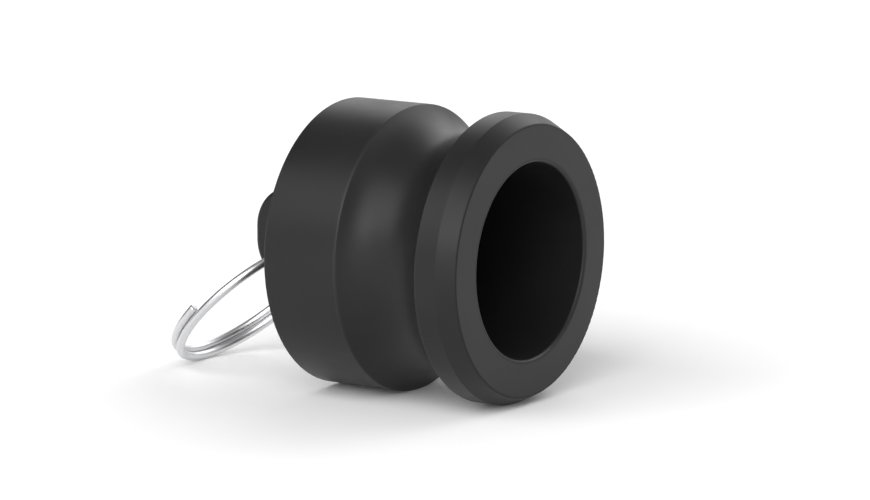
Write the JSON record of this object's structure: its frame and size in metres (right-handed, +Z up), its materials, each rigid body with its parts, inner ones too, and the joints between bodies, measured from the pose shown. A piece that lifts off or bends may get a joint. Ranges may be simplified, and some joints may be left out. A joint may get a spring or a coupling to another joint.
{
  "type": "blanking plug",
  "caption": "Moulded cup-shaped blanking plug with a cam groove round its outside and a rear lug that holds a swinging split ring.",
  "frame": {"origin": "on the plug's axis, half way along the cylindrical land of its lip", "axes": "-Y along the plug's axis and out of its mouth, +Y towards the lug; +Z up along the lug's width, with the plug lying on its side; +X across the lug, along its eye"},
  "size_m": [0.063, 0.0907, 0.063],
  "materials": {
    "black_plastic": "fine matt moulded",
    "ring_steel": "nickel-plated spring wire"
  },
  "bodies": {
    "plug": {"plug_body": "black_plastic"},
    "ring": {"split_ring": "ring_steel"}
  },
  "joints": [
    {"name": "ring_swing", "type": "hinge", "parent": "plug", "child": "ring", "pos_m": [0, 0.054, 0], "axis": [1, 0, 0], "range_deg": [-63, 157]}
  ]
}
